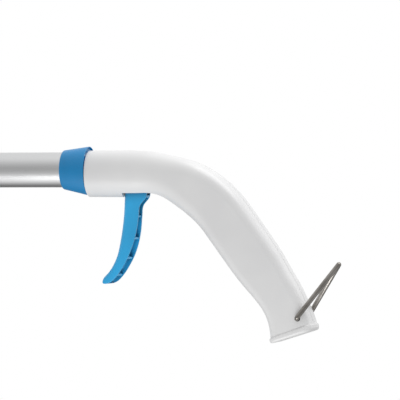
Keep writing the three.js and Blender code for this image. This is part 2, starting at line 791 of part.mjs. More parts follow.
for (const { name, place: at } of shellScrews) {
  const shellScrew = place(name, screw(screwSeat - screwTip), steel, at.x, screwTip, at.z);
  shellScrew.rotation.x = -PI / 2;
}
for (const [end, x] of [["rear", rivetRear], ["front", rivetFront]]) {
  const [left, right] = tubeRivets(x);
  place(`tube_rivet_${end}_left`, left, steel);
  place(`tube_rivet_${end}_right`, right, steel);
}

place("head_shell_bottom", headShell(-1), whitePlastic);
place("head_shell_top", headShell(1), whitePlastic);
for (const { name, x, y } of headScrews) {
  place(name, screw(headHalfHeight - gap - headScrewTip), steel, x, y, headScrewTip);
}
place("crosshead", crosshead(), guidePlastic);
const [leftPin, rightPin] = crossheadPins();
place("crosshead_pin_left", leftPin, steel);
place("crosshead_pin_right", rightPin, steel);

const armPinReach = headHalfHeight - armPinSeat - gap;
const arm = spreaderArm();
const pad = spreaderPad();
for (const [name, side] of [["left", -1], ["right", 1]]) {
  const mirror = side < 0 ? [1, -1, 1] : [1, 1, 1];
  const armPin = bar("z", pivotPin / 2, [-armPinReach, armPinReach]);
  place(`arm_pivot_pin_${name}`, armPin, steel, armPivotX, side * armPivotSpread);
  place(`spreader_arm_${name}`, arm.scale(mirror), whitePlastic, armPivotX, side * armPivotSpread);
  place(`spreader_pad_${name}`, pad.scale(mirror), softRubber, armPivotX, side * armPivotSpread);
}

export default sockAid;
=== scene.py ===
# %% [markdown]
# # A sock aid with a trigger grip
# This notebook dresses a finished mechanical model. The frame holds every part at its true place, so
# each cell below only makes a finer skin for one part, or a finish for it. All sizes are in metres.

# %% Load the frame
import json
import bmesh
import bpy
import numpy as np
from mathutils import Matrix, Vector


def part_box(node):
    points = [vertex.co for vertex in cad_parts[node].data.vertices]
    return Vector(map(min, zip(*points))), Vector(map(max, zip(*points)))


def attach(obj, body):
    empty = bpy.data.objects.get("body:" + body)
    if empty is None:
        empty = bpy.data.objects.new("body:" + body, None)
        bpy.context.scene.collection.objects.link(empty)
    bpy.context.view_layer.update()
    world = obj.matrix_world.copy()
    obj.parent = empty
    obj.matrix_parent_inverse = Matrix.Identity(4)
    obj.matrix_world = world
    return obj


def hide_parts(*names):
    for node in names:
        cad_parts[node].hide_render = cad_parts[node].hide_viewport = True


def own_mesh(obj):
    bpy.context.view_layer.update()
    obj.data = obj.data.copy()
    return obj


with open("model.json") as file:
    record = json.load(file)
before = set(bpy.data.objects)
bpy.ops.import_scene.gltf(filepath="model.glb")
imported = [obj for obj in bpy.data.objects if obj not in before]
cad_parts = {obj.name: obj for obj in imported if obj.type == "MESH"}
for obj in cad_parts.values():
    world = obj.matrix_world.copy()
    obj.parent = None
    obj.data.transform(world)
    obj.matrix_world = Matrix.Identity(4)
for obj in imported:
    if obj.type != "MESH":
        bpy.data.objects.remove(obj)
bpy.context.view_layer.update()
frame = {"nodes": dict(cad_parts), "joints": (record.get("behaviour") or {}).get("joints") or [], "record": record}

# %% [markdown]
# ## Sizes
# The frame says where things are: the tube's radius and the places of the collars are read from it.
# The grip is a bent form that no box can describe, so its few driving dimensions are written here.
# They are those of the frame's own grip, so that the fine skin lies exactly where the coarse one was.

# %% Sizes shared by several pieces
MM = 0.001
GAP = 0.3 * MM
tube_low, tube_high = (np.array(corner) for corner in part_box("main_tube"))
TUBE_RADIUS = tube_high[2]
TUBE_WALL = 1.2 * MM
GRIP_FRONT = tube_high[0] + GAP
GRIP_WALL = 2.6 * MM
NECK_DROP = 2.5 * MM
NECK_DEPTH = 2 * TUBE_RADIUS + 7 * MM
# Each stretch of the grip's centre line: its length, and how far it turns down along it.
BEND = np.radians(54.2)
HEEL = np.radians(25)
GRIP_PARTS = [(33.5 * MM, 0.0), (68 * MM * BEND, BEND), (53 * MM, 0.0), (28 * MM, HEEL)]
GRIP_END = sum(length for length, turn in GRIP_PARTS)
HEEL_LENGTH = GRIP_PARTS[-1][0]
HEEL_TILT = np.radians(9)
print("tube radius", TUBE_RADIUS, "grip length", round(GRIP_END, 4))

# %% [markdown]
# ## Helpers for surfaces
# A surface here is a grid of points: rows along the piece and columns around it. numpy works out all
# the points at once, and one helper turns a grid into faces. That keeps each piece down to its formula.

# %% From grids of points to a mesh
def grid_faces(rows, columns, wrap_rows=False, wrap_columns=False):
    """Quads over a grid: corners (r, c), (r, c+1), (r+1, c+1), (r+1, c). A wrap joins last to first."""
    row_starts, column_starts = np.arange(rows - (not wrap_rows)), np.arange(columns - (not wrap_columns))
    r, c = np.meshgrid(row_starts, column_starts, indexing="ij")
    after_r, after_c = (r + 1) % rows, (c + 1) % columns
    corners = [r * columns + c, r * columns + after_c, after_r * columns + after_c, after_r * columns + c]
    return np.stack(corners, axis=-1).reshape(-1, 4)


def skin(points, wrap_rows=False, wrap_columns=True, ends=True):
    """A closed skin over a grid. With ends, the first and last rows are closed by one flat face each."""
    rows, columns = points.shape[:2]
    faces = grid_faces(rows, columns, wrap_rows, wrap_columns).tolist()
    if ends:
        last = (rows - 1) * columns
        faces += [list(range(columns)), [last + c for c in range(columns)]]
    return points.reshape(-1, 3), faces


def add_piece(name, parts, sharp=40.0):
    """One object from (points, faces) parts: faces turned outwards, smooth except over sharp corners."""
    vertices, faces, count = [], [], 0
    for points, part_faces in parts:
        vertices.append(points)
        faces += [[index + count for index in face] for face in part_faces]
        count += len(points)
    mesh = bpy.data.meshes.new(name)
    mesh.from_pydata(np.concatenate(vertices).tolist(), [], faces)
    build = bmesh.new()
    build.from_mesh(mesh)
    bmesh.ops.remove_doubles(build, verts=build.verts, dist=1e-6)
    bmesh.ops.recalc_face_normals(build, faces=build.faces)
    build.to_mesh(mesh)
    build.free()
    mesh.shade_smooth()
    mesh.set_sharp_from_angle(angle=np.radians(sharp))
    piece = bpy.data.objects.new(name, mesh)
    bpy.context.scene.collection.objects.link(piece)
    return piece


def install(piece, body, slot, material, *nodes):
    """Says what the finished piece rides on, which nodes it stands for and what it is made of."""
    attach(piece, body)
    if nodes:
        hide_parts(*nodes)
    piece.data.materials.clear()
    piece.data.materials.append(material)
    print(piece.name, len(piece.data.polygons), "faces")
    return piece


def carve(piece, *cutters, operation="DIFFERENCE", sharp=40.0):
    """Cuts solids out of a piece, or joins them to it, and leaves a plain mesh with no modifier."""
    for cutter in cutters:
        cut = piece.modifiers.new("cut", "BOOLEAN")
        cut.object = cutter
        cut.operation = operation
        cut.solver = "EXACT"
    graph = bpy.context.evaluated_depsgraph_get()
    carved = bpy.data.meshes.new_from_object(piece.evaluated_get(graph))
    piece.modifiers.clear()
    piece.data = carved
    carved.shade_smooth()
    carved.set_sharp_from_angle(angle=np.radians(sharp))
    for cutter in cutters:
        bpy.data.objects.remove(cutter)
    return piece


def turned(profile, sides=96, along="x", centre=(0, 0, 0)):
    """A closed profile of (distance along, radius) turned about an axis: radius x (cos, sin) of the angle."""
    profile = np.array(profile, dtype=float)
    angle = np.linspace(0, 2 * np.pi, sides, endpoint=False)
    along_axis = np.repeat(profile[:, :1], sides, axis=1)
    ring = profile[:, 1:2] * np.cos(angle), profile[:, 1:2] * np.sin(angle)
    order = {"x": (along_axis, *ring), "y": (ring[1], along_axis, ring[0]), "z": (*ring, along_axis)}[along]
    return skin(np.stack(order, axis=-1) + np.array(centre), wrap_rows=True, ends=False)


def rod(radius, start, end, along="x", centre=(0, 0, 0), sides=48, chamfer=0.0):
    """A solid round rod with its two ends chamfered."""
    profile = [(start, 1e-6), (start, radius - chamfer), (start + chamfer, radius)]
    profile += [(end - chamfer, radius), (end, radius - chamfer), (end, 1e-6)]
    return turned(profile, sides, along, centre)


def rounded_loop(half_a, half_b, corner, steps=12):
    """A rounded rectangle as (a, b) points: four corner arcs joined by straight sides, one row per size."""
    quarter = np.arange(4)
    angle = (quarter[:, None] + np.linspace(0, 1, steps)[None, :]) * np.pi / 2
    sign_a = np.where((quarter == 0) | (quarter == 3), 1, -1)[:, None] + 0 * angle
    sign_b = np.where(quarter < 2, 1, -1)[:, None] + 0 * angle
    half_a, half_b, corner = (np.atleast_1d(value)[:, None] for value in (half_a, half_b, corner))
    flat = [grid.reshape(1, -1) for grid in (sign_a, sign_b, np.cos(angle), np.sin(angle))]
    a = flat[0] * (half_a - corner) + corner * flat[2]
    b = flat[1] * (half_b - corner) + corner * flat[3]
    return a, b


def smooth_through(at, values, where):
    """A curve through values: cubic pieces whose slope at each value is the slope between its neighbours."""
    at, values = np.array(at, dtype=float), np.array(values, dtype=float)
    slopes = np.gradient(values, at)
    slopes[1:-1] = (values[2:] - values[:-2]) / (at[2:] - at[:-2])
    where = np.clip(where, at[0], at[-1])
    cell = np.clip(np.searchsorted(at, where) - 1, 0, len(at) - 2)
    width = at[cell + 1] - at[cell]
    t = (where - at[cell]) / width
    start = (2 * t**3 - 3 * t**2 + 1) * values[cell] + (t**3 - 2 * t**2 + t) * width * slopes[cell]
    end = (3 * t**2 - 2 * t**3) * values[cell + 1] + (t**3 - t**2) * width * slopes[cell + 1]
    return start + end


def swept_tube(path, radius, sides=16):
    """A round tube along a path. Each ring lies square to the path, on two directions crossed with it."""
    tangent = np.gradient(path, axis=0)
    tangent /= np.linalg.norm(tangent, axis=1, keepdims=True)
    never_along_the_path = (0.311, 0.127, 0.942)
    side = np.cross(tangent, never_along_the_path)
    side /= np.linalg.norm(side, axis=1, keepdims=True)
    up = np.cross(side, tangent)
    angle = np.linspace(0, 2 * np.pi, sides, endpoint=False)[None, :, None]
    rings = path[:, None] + radius * (np.cos(angle) * side[:, None] + np.sin(angle) * up[:, None])
    return skin(rings)


def block(low, high):
    """A plain box. It only cuts other solids, so it needs no rounded edges."""
    low, high = np.array(low, dtype=float), np.array(high, dtype=float)
    corners = np.array([[x, y, z] for x in (0, 1) for y in (0, 1) for z in (0, 1)])
    faces = [[0, 1, 3, 2], [4, 6, 7, 5], [0, 4, 5, 1], [2, 3, 7, 6], [0, 2, 6, 4], [1, 5, 7, 3]]
    return low + corners * (high - low), faces

# %% [markdown]
# ## Finishes
# Every finish is worked out from noise on Object coordinates, so it stays put on the part wherever the part
# is carried, and needs no unwrapping. Each has a fine bump for the grain of the mould or the die, a slow
# change of colour and gloss, as handled plastic has, and its own roughness.

# %% Node helpers
def new_finish(name, color, roughness, **settings):
    """A material with its shader, ready for bump and variation. Constant values go on the shader itself."""
    finish = bpy.data.materials.new(name)
    finish.use_nodes = True
    nodes = finish.node_tree.nodes
    shader = nodes["Principled BSDF"]
    shader.inputs["Base Color"].default_value = (*color, 1.0)
    shader.inputs["Roughness"].default_value = roughness
    for key, value in settings.items():
        shader.inputs[key.replace("_", " ")].default_value = value
    return finish, shader


def noise(finish, scale, detail=3.0, stretch=(1, 1, 1)):
    """Noise on Object coordinates, stretched along an axis where a finish has a direction."""
    nodes, links = finish.node_tree.nodes, finish.node_tree.links
    place = nodes.new("ShaderNodeTexCoord")
    mapping = nodes.new("ShaderNodeMapping")
    mapping.inputs["Scale"].default_value = stretch
    texture = nodes.new("ShaderNodeTexNoise")
    texture.inputs["Scale"].default_value = scale
    texture.inputs["Detail"].default_value = detail
    links.new(place.outputs["Object"], mapping.inputs["Vector"])
    links.new(mapping.outputs["Vector"], texture.inputs["Vector"])
    return texture.outputs["Fac"]


def vary_color(finish, shader, factor, low, high, start=0.3, end=0.7):
    """Base colour between two close tones, as the noise goes from start to end."""
    ramp = finish.node_tree.nodes.new("ShaderNodeValToRGB")
    ramp.color_ramp.elements[0].position = start
    ramp.color_ramp.elements[1].position = end
    ramp.color_ramp.elements[0].color = (*low, 1.0)
    ramp.color_ramp.elements[1].color = (*high, 1.0)
    finish.node_tree.links.new(factor, ramp.inputs["Fac"])
    finish.node_tree.links.new(ramp.outputs["Color"], shader.inputs["Base Color"])


def vary_roughness(finish, shader, factor, low, high):
    """Roughness from low to high with the noise."""
    spread = finish.node_tree.nodes.new("ShaderNodeMapRange")
    spread.inputs["To Min"].default_value = low
    spread.inputs["To Max"].default_value = high
    finish.node_tree.links.new(factor, spread.inputs["Value"])
    finish.node_tree.links.new(spread.outputs["Result"], shader.inputs["Roughness"])


def add_bump(finish, shader, *heights):
    """Bumps stacked on each other. Each height is (factor, strength, depth in metres)."""
    nodes, links = finish.node_tree.nodes, finish.node_tree.links
    before = None
    for factor, strength, depth in heights:
        bump = nodes.new("ShaderNodeBump")
        bump.inputs["Strength"].default_value = strength
        bump.inputs["Distance"].default_value = depth
        links.new(factor, bump.inputs["Height"])
        if before:
            links.new(before, bump.inputs["Normal"])
        before = bump.outputs["Normal"]
    links.new(before, shader.inputs["Normal"])

# %% [markdown]
# ### Plastics
# The grip is a moulded white plastic with a half gloss: a broad, soft highlight and a grain so fine that
# it only breaks the reflection up. The trigger and collars are the same kind of plastic, dyed blue
# through. The trigger's channel also gets painted shade in its depth: its base colour is darkened by how
# close other faces are.

# %% White and blue plastic
def white_plastic():
    """White moulded plastic: slightly greyer in patches, with a fine spark grain."""
    finish, shader = new_finish("white_plastic", (0.86, 0.86, 0.86), 0.34, Coat_Weight=0.15)
    shader.inputs["Coat Roughness"].default_value = 0.22
    cloud = noise(finish, 34.0, 2.0)
    vary_color(finish, shader, cloud, (0.835, 0.835, 0.84), (0.885, 0.885, 0.885))
    vary_roughness(finish, shader, noise(finish, 210.0, 4.0), 0.28, 0.42)
    add_bump(finish, shader, (cloud, 0.06, 0.0006), (noise(finish, 1900.0, 2.0), 0.05, 0.00008))
    return finish


def blue_plastic(name, color):
    """Blue moulded plastic: dyed through, satin, with slow flow marks from the mould."""
    finish, shader = new_finish(name, color, 0.34, Coat_Weight=0.12)
    shader.inputs["Coat Roughness"].default_value = 0.18
    flow = noise(finish, 60.0, 3.0, (1.0, 1.0, 0.4))
    low, high = np.array(color) * 0.93, np.array(color) * 1.07
    vary_color(finish, shader, flow, low, high)
    vary_roughness(finish, shader, noise(finish, 260.0, 4.0), 0.28, 0.42)
    add_bump(finish, shader, (flow, 0.05, 0.0004), (noise(finish, 2300.0, 2.0), 0.06, 0.00007))
    return finish


def paint_recess_shade(finish, reach, darkest):
    """Darkens the base colour where other faces stand within reach: painted shade in a deep channel."""
    nodes, links = finish.node_tree.nodes, finish.node_tree.links
    shader = nodes["Principled BSDF"]
    closeness = nodes.new("ShaderNodeAmbientOcclusion")
    closeness.samples = 8
    closeness.inputs["Distance"].default_value = reach
    darken = nodes.new("ShaderNodeMapRange")
    darken.inputs["From Min"].default_value = 0.35
    darken.inputs["From Max"].default_value = 0.95
    darken.inputs["To Min"].default_value = darkest
    scaled = nodes.new("ShaderNodeVectorMath")
    scaled.operation = "SCALE"
    links.new(closeness.outputs["AO"], darken.inputs["Value"])
    links.new(shader.inputs["Base Color"].links[0].from_socket, scaled.inputs["Vector"])
    links.new(darken.outputs["Result"], scaled.inputs["Scale"])
    links.new(scaled.outputs["Vector"], shader.inputs["Base Color"])


def guide_plastic():
    """Dark self-lubricating plastic for the parts that slide."""
    finish, shader = new_finish("guide_plastic", (0.05, 0.055, 0.065), 0.45)
    vary_color(finish, shader, noise(finish, 90.0), (0.04, 0.045, 0.055), (0.065, 0.07, 0.08))
    add_bump(finish, shader, (noise(finish, 1500.0), 0.12, 0.00008))
    return finish


def soft_rubber():
    """Blue soft rubber: dull, with a fine cloudy surface."""
    finish, shader = new_finish("soft_rubber", (0.03, 0.17, 0.34), 0.72)
    vary_color(finish, shader, noise(finish, 120.0), (0.025, 0.15, 0.3), (0.04, 0.2, 0.39))
    vary_roughness(finish, shader, noise(finish, 400.0), 0.62, 0.82)
    add_bump(finish, shader, (noise(finish, 1200.0, 4.0), 0.2, 0.0001))
    return finish


WHITE = white_plastic()
BLUE = blue_plastic("blue_plastic", (0.005, 0.245, 0.56))
TRIGGER_BLUE = blue_plastic("trigger_blue_plastic", (0.033, 0.47, 0.9))
# Painted shade: ambient occlusion darkens the trigger's base colour inside its channel.
paint_recess_shade(TRIGGER_BLUE, 8 * MM, 0.35)
GUIDE = guide_plastic()
RUBBER = soft_rubber()

# %% [markdown]
# ### Metals
# The tube is drawn aluminium: the die leaves very long, fine lines down its length, which spread a
# highlight across the tube but not along it. Stretching the noise along X by a factor of 60 draws those
# lines. The bail is a bent wire, dulled and slightly stained, and the pins are turned bright steel.

# %% Aluminium and steels
def satin_aluminium():
    """Drawn aluminium: fine lines along X in both bump and roughness."""
    finish, shader = new_finish("satin_aluminium", (0.78, 0.785, 0.79), 0.3, Metallic=1.0)
    lines = noise(finish, 1500.0, 3.0, (0.016, 1.0, 1.0))
    clouds = noise(finish, 25.0, 3.0, (0.2, 1, 1))
    vary_color(finish, shader, clouds, (0.73, 0.735, 0.74), (0.81, 0.815, 0.82))
    vary_roughness(finish, shader, lines, 0.22, 0.38)
    add_bump(finish, shader, (lines, 0.18, 0.00005))
    return finish


def bail_steel():
    """Bent steel wire: dull, brown-grey, with broad stains and fine pits."""
    finish, shader = new_finish("bail_steel", (0.3, 0.28, 0.26), 0.3, Metallic=1.0)
    stains = noise(finish, 110.0, 2.0)
    vary_color(finish, shader, stains, (0.2, 0.185, 0.165), (0.4, 0.38, 0.355), 0.3, 0.7)
    vary_roughness(finish, shader, noise(finish, 500.0, 3.0), 0.16, 0.3)
    add_bump(finish, shader, (noise(finish, 900.0), 0.06, 0.00006))
    return finish


def bright_steel():
    """Turned steel for pins and screws."""
    finish, shader = new_finish("bright_steel", (0.58, 0.59, 0.6), 0.25, Metallic=1.0)
    vary_color(finish, shader, noise(finish, 300.0), (0.5, 0.51, 0.52), (0.63, 0.64, 0.65))
    vary_roughness(finish, shader, noise(finish, 900.0), 0.18, 0.34)
    add_bump(finish, shader, (noise(finish, 2500.0), 0.08, 0.00005))
    return finish


ALUMINIUM = satin_aluminium()
BAIL_STEEL = bail_steel()
STEEL = bright_steel()
SLOT_FINISHES = {
    "satin_aluminium": ALUMINIUM,
    "white_plastic": WHITE,
    "blue_plastic": BLUE,
    "bail_steel": BAIL_STEEL,
    "bright_steel": STEEL,
    "guide_plastic": GUIDE,
    "soft_rubber": RUBBER,
}
print("finishes:", sorted(material.name for material in bpy.data.materials))

# %% [markdown]
# Parts that keep their own shape are mostly the pins and slides inside, where a true size matters more than
# a fine surface. Each gets the finish of the material slot that the frame gives it.

# %% Finishes on the parts that stay
for row in frame["record"]["subparts"]:
    node = frame["nodes"][row["node"]]
    node.data.materials.clear()
    node.data.materials.append(SLOT_FINISHES[row["material_slot"]])

# %% [markdown]
# ## The grip
# The grip is one bent form in two shells. Its section starts round at the tube and tightens towards the
# butt into a rounded rectangle. A bent tube with one radius could not do that, and neither could a box
# with rounded edges, so the form is a section carried along a centre line, with its depth, width and
# corner each a smooth curve of the distance along it.

# %% The grip's form
GRIP_AT = np.array([0, 0.17, 0.27, 0.38, 0.5, 0.6, 0.74, 0.84, 0.92, 1.0]) * GRIP_END
GRIP_DEPTH = np.array([29, 29, 27, 30.4, 30.6, 30.3, 29.4, 26, 24.6, 26.4]) * MM
GRIP_WIDTH = np.array([29, 29, 29, 29, 28.5, 28, 28, 28, 28, 28]) * MM
GRIP_CORNER = np.array([14.2, 14, 12.5, 10, 7.5, 6.5, 6, 5.5, 5, 4.5]) * MM


def centre_line(distance):
    """Walks the stretches: a straight one adds its length, a turning one its chord, at half its turn."""
    x, z = np.full_like(distance, GRIP_FRONT), np.full_like(distance, -NECK_DROP)
    heading, start = np.zeros_like(distance), 0.0
    for i, (length, turn) in enumerate(GRIP_PARTS):
        is_last = i == len(GRIP_PARTS) - 1
        run = np.clip(distance - start, 0, None if is_last else length)
        half = turn * run / length / 2
        chord = run * np.sinc(half / np.pi)
        x = x + chord * np.cos(heading + half)
        z = z - chord * np.sin(heading + half)
        heading = heading + 2 * half
        start += length
    return x, z, heading


def grip_grid(distance, inset, steps=12):
    """Rings of the grip at each distance, all moved inwards by inset. Columns go round from the back."""
    x, z, heading = centre_line(distance)
    heel = np.clip((distance - GRIP_END + HEEL_LENGTH) / HEEL_LENGTH, 0, None)
    lean = heading - HEEL_TILT * heel
    half_depth = smooth_through(GRIP_AT, GRIP_DEPTH, distance) / 2 - inset
    half_width = smooth_through(GRIP_AT, GRIP_WIDTH, distance) / 2 - inset
    corner = smooth_through(GRIP_AT, GRIP_CORNER, distance) - inset
    smallest_corner, shortest_flat = 1 * MM, 0.3 * MM
    largest_corner = np.minimum(half_depth, half_width) - shortest_flat
    corner = np.minimum(np.maximum(corner, smallest_corner), largest_corner)
    out, across = rounded_loop(half_depth, half_width, corner, steps)
    along_x = x[:, None] + out * np.sin(lean)[:, None]
    along_z = z[:, None] + out * np.cos(lean)[:, None]
    return np.stack([along_x, across, along_z], axis=-1)


print("grip ends at", [round(float(v[0]) * 1000, 1) for v in centre_line(np.array([GRIP_END]))[:2]], "mm")

# %% [markdown]
# Each shell is half of that form, cut at the middle plane. The halves don't quite meet: the hair-line
# between them is what shows as a seam along the back of the real grip. A half is a closed skin: out
# along the outer side, round the edge, and back along the inner side.

# %% Half shells of the grip
SEAM_GROOVE = 0.7 * MM
WELL_RADIUS = 3.3 * MM


def half_columns(grid, side, groove):
    """The columns of each ring on one side of the middle plane. At each end they stop short of the plane
    by the groove's width, then dip to the seam: half a gap from the plane and a groove's width deep."""
    quarter = grid.shape[1] // 4
    columns = (grid[:, : 2 * quarter] if side > 0 else grid[:, 2 * quarter :][:, ::-1]).copy()
    columns[..., 1] = side * np.maximum(side * columns[..., 1], GAP / 2 + groove)
    inwards = columns[:, -1:] - columns[:, :1]
    inwards[..., 1] = 0
    inwards *= groove / np.linalg.norm(inwards, axis=-1, keepdims=True)
    ends = []
    for edge, dip in ((columns[:, :1], inwards), (columns[:, -1:], -inwards)):
        brim, seam = edge.copy(), edge + dip
        brim[..., 1] = side * (GAP / 2 + groove)
        seam[..., 1] = side * GAP / 2
        ends.append([seam, brim])
    return np.concatenate([*ends[0], columns, *ends[1][::-1]], axis=1)


def grip_half(name, side):
    """Outer and inner half rings joined into one loop, carried along the centre line, closed at its ends."""
    distance = np.linspace(0, GRIP_END, 150)
    outer = half_columns(grip_grid(distance, 0.0), side, SEAM_GROOVE)
    inner = half_columns(grip_grid(distance, GRIP_WALL), side, 0.0)
    loop = np.concatenate([outer, inner[:, ::-1]], axis=1)
    count = outer.shape[1]
    strip = np.arange(count - 1)
    flat = np.stack([strip, strip + 1, 2 * count - 2 - strip, 2 * count - 1 - strip], -1)
    points, faces = skin(loop, ends=False)
    faces += flat.tolist() + (flat + (len(distance) - 1) * 2 * count).tolist()
    return add_piece(name, [(points, faces)])


def trigger_slot():
    """The wedge that the trigger swings in, about its pivot, with room ahead for the trigger's nose."""
    reach, nose, half = 44 * MM, -8.5 * MM, 8.3 * MM
    front, rear = np.radians([-29, 52])
    fan = [(0, 0), (nose, 0), (nose, -nose / np.tan(front))]
    fan += [(reach * np.sin(angle), -reach * np.cos(angle)) for angle in (front, rear)]
    rows = np.array([[(x, y, z) for x, z in fan] for y in (-half, half)])
    return add_piece("slot_cutter", [skin(rows)])


def hub_room():
    """The round room for the trigger's hub, which lies on the trigger's pivot at the frame's origin."""
    radius, half = 6.6 * MM, 7.3 * MM
    return add_piece("hub_cutter", [rod(radius, -half, half, "y")])


JOINTS = {joint["name"]: joint for joint in frame["joints"]}
bail_pivot = JOINTS["bail_swing"]["pos_m"]
WIRE_RADIUS = 1.5 * MM


def bail_hole(side):
    """The hole that one end of the bail turns in, a gap wider than the wire."""
    inside, outside = 8 * MM, 20 * MM
    span = sorted([side * inside, side * outside])
    return add_piece("hole_cutter", [rod(WIRE_RADIUS + GAP, *span, "y", (bail_pivot[0], 0, bail_pivot[2]))])


def screw_wells():
    """Wells in the right shell for the heads of the shell screws."""
    wells, floor_of_well, out_of_shell = [], 7.2 * MM, 20 * MM
    for name in ("front", "middle", "rear"):
        low, high = (np.array(corner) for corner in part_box(f"shell_screw_{name}"))
        centre = (low + high) / 2
        well = rod(WELL_RADIUS, floor_of_well, out_of_shell, "y", (centre[0], 0, centre[2]))
        wells.append(add_piece("well_cutter", [well]))
    return wells


for side, word in ((-1, "left"), (1, "right")):
    shell = grip_half(f"grip_skin_{word}", side)
    carve(shell, trigger_slot(), hub_room(), bail_hole(side), *(screw_wells() if side > 0 else []))
    install(shell, "handle", "white_plastic", WHITE, f"grip_shell_{word}")

# %% [markdown]
# The grip's open end is closed by a moulded cap, a plate that stands a little proud all round with its edge
# rolled over. A bevelled slab would not follow the grip's section, so the cap is drawn as rings of the very
# same form, each a little further along and pulled in a little more than the last.

# %% Butt cap
def butt_cap():
    """Rings of the grip's end section: a roll outwards, a short wall, a wider roll, then the flat face."""
    thick, proud, small, large = 3.4 * MM, 0.8 * MM, 0.9 * MM, 1.8 * MM
    end = GRIP_END + GAP + thick
    turn = np.linspace(0, np.pi / 2, 9)
    distance = np.concatenate([[GRIP_END - 0.5 * MM], GRIP_END - 0.1 * MM + small * (1 - np.cos(turn)),
                               end - large + large * np.sin(turn)])
    first_roll, second_roll = small * (1 - np.sin(turn)), large * (1 - np.cos(turn))
    inset = np.concatenate([[small], first_roll - proud, second_roll - proud])
    rings = [grip_grid(np.array([d]), i)[0] for d, i in zip(distance, inset)]
    middle = rings[-1].mean(axis=0)
    face = [middle + (rings[-1] - middle) * share for share in (0.75, 0.4, 0.1)]
    return add_piece("butt_cap_skin", [skin(np.array(rings + face))])


install(butt_cap(), "handle", "white_plastic", WHITE, "butt_cap")

# %% [markdown]
# ## Tube and collars
# The tube is a plain drawn tube, cut to length. A cylinder from the menu has no wall and no chamfer at its
# cut ends, so the outline of its wall is turned instead. The chamfers are what catch the light.

# %% Tube
def tube():
    """The wall's outline, with both ends chamfered, turned about X."""
    start, end, edge = tube_low[0], tube_high[0], 0.2 * MM
    outer, inner = TUBE_RADIUS, TUBE_RADIUS - TUBE_WALL
    profile = [(start, inner), (start, outer - edge), (start + edge, outer)]
    profile += [(end - edge, outer), (end, outer - edge), (end, inner)]
    return add_piece("tube_skin", [turned(profile, 128)], sharp=30)


install(tube(), "handle", "satin_aluminium", ALUMINIUM, "main_tube")

# %% [markdown]
# The collars are tapered rings of blue plastic that cover the joints between the tube and what it carries.
# A cone with a bevel would give the taper, but not the rolled thin edge nor the dark groove inside the thick
# end, so the whole profile is drawn and turned.

# %% Collars
def collar(name, node, thick_end, lean):
    """A taper from thin to thick with a rolled thin edge and a thin rim about a shadow groove at the thick
    one. The thick end leans down a little, by a shear, because the grip's neck lies lower than the tube."""
    low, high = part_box(node)
    start, end = (low[0], high[0]) if thick_end > 0 else (high[0], low[0])
    direction = np.sign(end - start)
    length = abs(end - start)
    bore = TUBE_RADIUS + GAP
    thin, thick, roll, lip = bore + 1.1 * MM, high[2], 0.9 * MM, 0.25 * MM
    rim, recess, hub = thick - 0.3 * MM, 1.2 * MM, NECK_DEPTH / 2 - NECK_DROP - 0.4 * MM
    floor_of_groove = length - recess
    turn = np.linspace(0, np.pi / 2, 7)
    rolled = np.stack([roll * (1 - np.sin(turn[::-1])), thin - roll * (1 - np.cos(turn[::-1]))], -1)
    lipped = np.stack([length - lip * (1 - np.sin(turn)), thick - lip * (1 - np.cos(turn))], -1)
    groove = [[length, rim], [floor_of_groove, rim - 0.1 * MM], [floor_of_groove, hub], [length, hub]]
    profile = np.concatenate([[[0, bore]], rolled, lipped, groove, [[length, bore]]])
    profile[:, 0] = start + direction * profile[:, 0]
    points, faces = turned(profile, 128)
    points[:, 2] -= lean * np.clip((points[:, 0] - start) / (end - start), 0, 1)
    return add_piece(name, [(points, faces)], sharp=35)


for name, thick_end, lean in (("front_collar", 1, 0.8 * MM), ("head_collar", -1, 0.0)):
    install(collar(f"{name}_skin", name, thick_end, lean), "handle", "blue_plastic", BLUE, name)

# %% [markdown]
# ## Trigger
# The trigger is a curved moulding, hollowed from behind so that it cools evenly, with cross ribs to keep it
# stiff. It could be modelled from a box by hand, edge by edge, but two curves say more with less: the front
# and the rear edge seen from the side. The blade is a rounded section spanned between them, the channel is
# the same form pushed back and made narrower, and the ribs stand square to the rear edge.

# %% Trigger blade
TRIGGER_TOP, TRIGGER_FOOT = 5.0 * MM, 8.2 * MM
TRIGGER_WALL, TRIGGER_FACE = 1.6 * MM, 2.4 * MM
FRONT_EDGE = np.array([[-8.2, -3], [-8.2, -9], [-8.1, -13], [-8.2, -19.5], [-8.8, -31], [-10, -43],
                       [-12.2, -54], [-16.6, -62.8], [-22.8, -69.2]]) * MM
REAR_EDGE = np.array([[6.3, 0], [6.3, -8], [6.3, -16.5], [2.1, -22.5], [1.3, -28.8], [0.3, -37.6],
                      [-1.6, -46], [-4.6, -54], [-8.6, -61.4], [-13, -67.4], [-18.4, -72.4]]) * MM


def edge_curve(points, where):
    """A smooth curve through an edge's points, by share of its length."""
    steps = np.concatenate([[0], np.cumsum(np.linalg.norm(np.diff(points, axis=0), axis=1))])
    steps /= steps[-1]
    return np.stack([smooth_through(steps, points[:, i], where) for i in (0, 1)], -1)


def trigger_half_width(share):
    """Half the blade's width at a share of its length: narrow in the slot, wider under the fingers."""
    flare = np.clip((share - 0.3) / 0.45, 0, 1)
    return TRIGGER_TOP + (TRIGGER_FOOT - TRIGGER_TOP) * flare**2 * (3 - 2 * flare)


